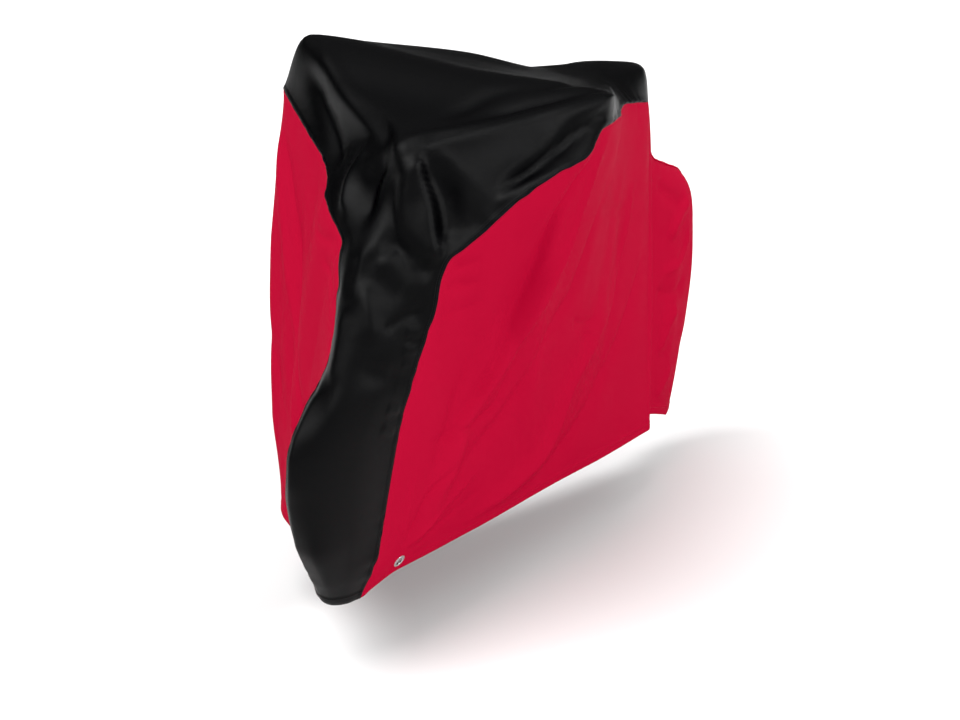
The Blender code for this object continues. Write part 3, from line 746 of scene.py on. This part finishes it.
def stitch_object(name, lines, material):
    """A row of small stitches along each line of (point, normal) pairs."""
    corners = []
    faces = []
    for line, normal in lines:
        length = along_length(line)
        places = np.arange(STITCH_STEP, length[-1] - STITCH_STEP, STITCH_STEP)
        centre = at_length(length, line, places)
        up = at_length(length, normal, places)
        step = STITCH / 3
        ahead = unit(at_length(length, line, places + step) - at_length(length, line, places - step))
        aside = unit(np.cross(ahead, up))
        for spot, run, across, out in zip(centre, ahead, aside, up):
            faces += stitch_faces(len(corners))
            corners.append(spot - run * STITCH / 2 - out * STITCH_SINK)
            for share, thick in STITCH_RINGS:
                for a, b in STITCH_CORNERS:
                    corners.append(spot + run * STITCH * share
                                   + (across * a + out * b) * THREAD / 2 * thick)
            corners.append(spot + run * STITCH / 2 - out * STITCH_SINK)
    mesh = bpy.data.meshes.new(name)
    mesh.from_pydata([tuple(corner - HELD_AT) for corner in corners], [], faces)
    mesh.shade_smooth()
    return add_object(name, mesh, material)


# Eyelets

def eyelet_frame(word):
    """Centre and outward direction of an eyelet, from the frame's own solid."""
    solid = bpy.data.objects["eyelet_" + word]
    corners = np.array([solid.matrix_world @ vertex.co for vertex in solid.data.vertices])
    centre = (corners.max(axis=0) + corners.min(axis=0)) / 2
    axis = np.linalg.svd(corners - corners.mean(axis=0))[2][2]
    side = -1 if word == "left" else 1
    return centre + HELD_AT, axis * np.sign(axis[1] * side)


def seat_eyelet(points, word):
    """The panel pressed flat under the eyelet's flange, and the faces that its hole takes away."""
    centre, axis = eyelet_frame(word)
    centre = centre - axis * FACE
    away = points - centre
    height = away @ axis
    gap = np.linalg.norm(away - height[..., None] * axis, axis=-1)
    gap = np.where(np.abs(height) < OTHER_LAYER, gap, 1.0)
    flat = 1 - smoothstep(gap, EYELET_RIM + PRESSED[0], EYELET_RIM + PRESSED[1])
    points = points - axis * (height * flat)[..., None]
    middle = (gap[:-1, :-1] + gap[1:, :-1] + gap[1:, 1:] + gap[:-1, 1:]) / 4
    return points, middle < EYELET_HOLE + BARREL


def eyelet_profile():
    """The ring's section as (radius, height): rounded lip, dome, barrel and the washer behind."""
    profile = [(EYELET_RIM, FACE)]
    for arc in EYELET_ARCS:
        for turn in np.radians(np.linspace(arc.start, arc.start + 90, arc.points)):
            profile.append((arc.radius + arc.wide * math.cos(turn),
                            arc.height + arc.tall * math.sin(turn)))
    return profile + [(EYELET_RIM + inward, back - FACE) for inward, back in WASHER]


def eyelet_object(word, material):
    """A pressed ring: a domed flange in front, a barrel, and a flat washer behind."""
    centre, axis = eyelet_frame(word)
    profile = eyelet_profile()
    build = bmesh.new()
    rings = []
    for step in range(EYELET_STEPS):
        angle = 2 * math.pi * step / EYELET_STEPS
        rings.append([build.verts.new((radius * math.cos(angle), radius * math.sin(angle), z))
                      for radius, z in profile])
    for ring, after in zip(rings, rings[1:] + rings[:1]):
        for a, b, c, d in zip(ring, ring[1:], after[1:], after):
            build.faces.new((a, d, c, b))
    bmesh.ops.recalc_face_normals(build, faces=build.faces)
    mesh = bpy.data.meshes.new("ring_" + word)
    build.to_mesh(mesh)
    build.free()
    mesh.shade_smooth()
    ring = add_object("ring_" + word, mesh, material)
    ring.location = centre - HELD_AT
    ring.rotation_euler = Vector(axis).to_track_quat("Z", "Y").to_euler()
    return ring


# Materials

def noise(tree, settings):
    """A noise over the object's own coordinates."""
    place = tree.nodes.new("ShaderNodeTexCoord").outputs["Object"]
    made = tree.nodes.new("ShaderNodeTexNoise")
    for name, value in zip(("Scale", "Detail", "Distortion"), settings):
        made.inputs[name].default_value = value
    tree.links.new(place, made.inputs["Vector"])
    return made.outputs["Fac"]


def new_material(name, colours, finish, rough=0.0):
    """A material whose colour and roughness each drift between two values, and its shader."""
    material = bpy.data.materials.new(name)
    material.use_nodes = True
    tree = material.node_tree
    shader = tree.nodes["Principled BSDF"]
    mix = tree.nodes.new("ShaderNodeMix")
    mix.data_type = "RGBA"
    for letter, colour in zip("AB", colours):
        mix.inputs[letter].default_value = tuple(colour) + (1,)
    tree.links.new(noise(tree, finish.colour_noise), mix.inputs["Factor"])
    tree.links.new(mix.outputs["Result"], shader.inputs["Base Color"])
    gloss = tree.nodes.new("ShaderNodeMapRange")
    for name, value in zip(("To Min", "To Max"), finish.rough):
        gloss.inputs[name].default_value = rough + value
    tree.links.new(noise(tree, finish.rough_noise), gloss.inputs["Value"])
    tree.links.new(gloss.outputs[0], shader.inputs["Roughness"])
    return material, shader


def math_node(tree, operation, a, b=None):
    """Of one or two outputs; b may be a number."""
    made = tree.nodes.new("ShaderNodeMath")
    made.operation = operation
    tree.links.new(a, made.inputs[0])
    if isinstance(b, float):
        made.inputs[1].default_value = b
    elif b is not None:
        tree.links.new(b, made.inputs[1])
    return made.outputs[0]


def bump(tree, height, strength, depth, below=None):
    """A normal with a relief on it, and on the one below."""
    made = tree.nodes.new("ShaderNodeBump")
    made.inputs["Strength"].default_value = strength
    made.inputs["Distance"].default_value = depth
    tree.links.new(height, made.inputs["Height"])
    if below is not None:
        tree.links.new(below, made.inputs["Normal"])
    return made.outputs[0]


def weave_height(tree):
    """Threads over and under each other, along and across the cloth's own coordinates."""
    uv = tree.nodes.new("ShaderNodeUVMap")
    uv.uv_map = "cloth"
    parts = tree.nodes.new("ShaderNodeSeparateXYZ")
    tree.links.new(uv.outputs[0], parts.inputs[0])
    turns = math.pi / WEAVE_PITCH
    waves = [math_node(tree, "SINE", math_node(tree, "MULTIPLY", parts.outputs[k], turns))
             for k in range(2)]
    return math_node(tree, "MULTIPLY", *waves)


def cloth_material(name, colour, worn, rough, specular):
    """Coated plain weave, with crinkles, soft crumples and a faint drift of colour and gloss."""
    material, shader = new_material(name, (colour, worn), COATED, rough)
    tree = material.node_tree
    shader.inputs["Specular IOR Level"].default_value = specular
    normal = bump(tree, weave_height(tree), *WEAVE_RELIEF)
    for settings, strength, depth in COATING_RELIEF:
        normal = bump(tree, noise(tree, settings), strength, depth, normal)
    tree.links.new(normal, shader.inputs["Normal"])
    return material


def metal_material(name):
    """Pressed, nickel-plated steel, finely brushed and a little dulled."""
    material, shader = new_material(name, METAL_COLOURS, BRUSHED)
    shader.inputs["Metallic"].default_value = 1.0
    return material


def thread_material(name, colour):
    """Twisted polyester thread."""
    gleam = [THREAD_GLEAM * part for part in colour]
    material, shader = new_material(name, (colour, gleam), TWISTED)
    shader.inputs["Specular IOR Level"].default_value = THREAD_SPECULAR
    return material


RED_CLOTH = cloth_material("red_cloth", (.378, .0079, .0305), (.358, .0070, .0280), 0.42, 0.0006)
BLACK_CLOTH = cloth_material("black_cloth", (.0023, .0023, .0025), (.0031, .0031, .0033), 0.37, 0.080)
EDGE_CLOTH = cloth_material("edge_cloth", (.0040, .0042, .0070), (.0055, .0058, .0085), 0.50, 0.06)
BLACK_THREAD = thread_material("black_thread", (.006, .006, .007))
RED_THREAD = thread_material("red_thread", (.300, .004, .020))
METAL = metal_material("eyelet_metal")


# Panels

def build_centre():
    """The centre panel, its points and normals, and the row of its hem's stitches."""
    rows, plain, across = centre_panel_grid()
    normal = normals(plain, -1.0)
    push = push_out(plain, normal, CENTRE_CREASES, CENTRE_FOLDS, centre_point)
    columns = plain.shape[1]
    to_hem = np.repeat(along_length(plain[:, columns // 2])[:, None], columns, axis=1)
    to_seam = np.abs(across[:, :1]) - np.abs(across)
    relief = edge_relief(to_hem, HEM) + edge_relief(to_seam, FELL) + pucker(to_hem, to_seam)
    held = push * hold_down(to_seam, to_hem, CENTRE_HEM_SHARE)
    points = plain + normal * (held + relief)[..., None]
    mesh = grid_mesh("black_panel", points, np.stack([across, to_hem], axis=-1), flip=True)
    panel = cloth_object("black_panel", mesh, BLACK_CLOTH)
    stitch_row = int(np.argmin(np.abs(rows - station_at_length(HEM.stitches[0]))))
    return panel, points, normal, stitch_row


def build_side(word, side):
    """A side panel, its points and normals, and the column where the rear seam starts."""
    creases = LEFT_CREASES if side < 0 else RIGHT_CREASES
    folds = LEFT_FOLDS if side < 0 else RIGHT_FOLDS
    at, v, down, length, plain = side_panel_grid(side)
    normal = normals(plain, float(side))

    def place(station, share):
        return side_surface(side, np.array([float(station)]), np.array([float(share)]))[0]

    push = push_out(plain, normal, creases, folds, place)
    to_hem = length - down
    along_top = along_length(plain[:, 0])[:, None]
    along_hem = along_length(plain[:, -1])[:, None]
    along = along_top * (1 - v) + along_hem * v
    relief = edge_relief(to_hem, HEM) + edge_relief(down, GROOVE) + pucker(along_top, down)
    held = push * hold_down(down, to_hem, SIDE_HEM_SHARE)
    points, skip = seat_eyelet(plain + normal * (held + relief)[..., None], word)
    name = "red_panel_" + word
    mesh = grid_mesh(name, points, np.stack([along, down], axis=-1), skip, flip=side < 0)
    panel = cloth_object(name, mesh, RED_CLOTH)
    rear_start = int(np.searchsorted(at, LAST + 1))
    return panel, points, normal, rear_start


def row_line(points, normal, index, lift):
    """A line along a grid's row or column, lifted off the cloth's inner face, and its normals."""
    return points[index] + normal[index] * lift, normal[index]


def dress(piece, slot, *nodes):
    """Puts a piece on the part, in place of nodes. The slot is not used."""
    if nodes:
        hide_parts(*nodes)
    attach(piece, "root")


def dress_centre():
    """The black panel, with stitches along its front hem and two rows beside each seam."""
    panel, points, normal, stitch_row = build_centre()
    dress(panel, "black_cloth", "centre_panel")
    front = np.s_[stitch_row, STITCH_SKIP:-STITCH_SKIP]
    lines = [row_line(points, normal, front, THREAD_LIFT)]
    for distance in FELL.stitches:
        column = SEAM_ROWS.index(distance)
        for index in (column, -1 - column):
            lines.append(row_line(points, normal, np.s_[:, index], THREAD_LIFT))
    dress(stitch_object("stitching_black", lines, BLACK_THREAD), "black_cloth")


def dress_side(word, side):
    """A red panel with its stitches, its eyelet and the dark edge of the black panel beside it."""
    panel, points, normal, rear_start = build_side(word, side)
    dress(panel, "red_cloth", "side_panel_" + word, "eyelet_strip_" + word)
    seam_row = SEAM_ROWS.index(GROOVE.stitches[0])
    hem_row = HEM_ROWS.index(HEM.stitches[0]) - len(HEM_ROWS)
    lines = [row_line(points, normal, np.s_[:, row], THREAD_LIFT) for row in (seam_row, hem_row)]
    dress(stitch_object("stitching_" + word, lines, RED_THREAD), "red_cloth")
    edge, lean = row_line(points, normal, np.s_[:, 0], BEAD_LIFT)
    seam = np.s_[:rear_start + 1]
    dress(bead_object("seam_" + word, edge[seam], lean[seam], SEAM_BEAD, EDGE_CLOTH), "black_cloth")
    dress(eyelet_object(word, METAL), "eyelet_metal", "eyelet_" + word)
    return np.stack([edge, lean])[:, rear_start:]


def dress_rear(edges):
    """The felled seam that joins the two side panels down the rear, midway between their edges."""
    line, lean = sum(edges) / len(edges)
    dress(bead_object("seam_rear", line, unit(lean), REAR_BEAD, RED_CLOTH), "red_cloth")


# Stage, light and camera

def build_floor():
    bpy.ops.mesh.primitive_plane_add(size=FLOOR_SIZE, location=(0, 0, -HELD_AT[2]))
    floor = bpy.context.object
    floor.name = "floor"
    white = bpy.data.materials.new("floor")
    white.use_nodes = True
    shader = white.node_tree.nodes["Principled BSDF"]
    shader.inputs["Base Color"].default_value = (FLOOR_TONE, FLOOR_TONE, FLOOR_TONE, 1)
    shader.inputs["Roughness"].default_value = FLOOR_ROUGH
    shader.inputs["Specular IOR Level"].default_value = FLOOR_SPECULAR
    floor.data.materials.append(white)


def build_studio():
    """A room that is brightest towards SKY_POLE, and the picture's darkest and lightest tones."""
    world = bpy.data.worlds.new("studio")
    world.use_nodes = True
    tree = world.node_tree
    towards = tree.nodes.new("ShaderNodeVectorMath")
    towards.operation = "DOT_PRODUCT"
    towards.inputs[1].default_value = SKY_POLE
    direction = tree.nodes.new("ShaderNodeTexCoord").outputs["Generated"]
    tree.links.new(direction, towards.inputs[0])
    ramp = tree.nodes.new("ShaderNodeMapRange")
    ramp.interpolation_type = "SMOOTHSTEP"
    ramp.inputs["To Min"].default_value = SKY_LOW
    ramp.inputs["To Max"].default_value = SKY_HIGH
    tree.links.new(towards.outputs["Value"], ramp.inputs["Value"])
    background = tree.nodes["Background"]
    background.inputs["Color"].default_value = (1, 1, 1, 1)
    tree.links.new(ramp.outputs[0], background.inputs["Strength"])
    bpy.context.scene.world = world
    view = bpy.context.scene.view_settings
    view.view_transform = "Standard"
    view.use_curve_mapping = True
    view.curve_mapping.black_level = [BLACK_POINT] * 3
    view.curve_mapping.white_level = [WHITE_POINT] * 3


def build_light(light):
    data = bpy.data.lights.new(light.name, "SUN")
    data.angle = math.radians(light.softness)
    data.energy = light.power
    lamp = add_object(light.name, data)
    lamp.rotation_euler = Vector(light.comes_from).to_track_quat("Z", "Y").to_euler()


def build_camera():
    data = bpy.data.cameras.new("camera")
    data.lens = CAMERA_LENS
    data.clip_end = CAMERA_END
    camera = add_object("camera", data)
    level = math.cos(CAMERA_PITCH)
    forward = Vector((math.cos(CAMERA_YAW) * level, math.sin(CAMERA_YAW) * level,
                      -math.sin(CAMERA_PITCH)))
    camera.location = Vector(CAMERA_AT) - Vector(HELD_AT)
    camera.rotation_euler = forward.to_track_quat("-Z", "Y").to_euler()
    bpy.context.scene.camera = camera


dress_centre()
dress_rear([dress_side("left", -1), dress_side("right", 1)])
build_floor()
build_studio()
for light in LIGHTS:
    build_light(light)
build_camera()
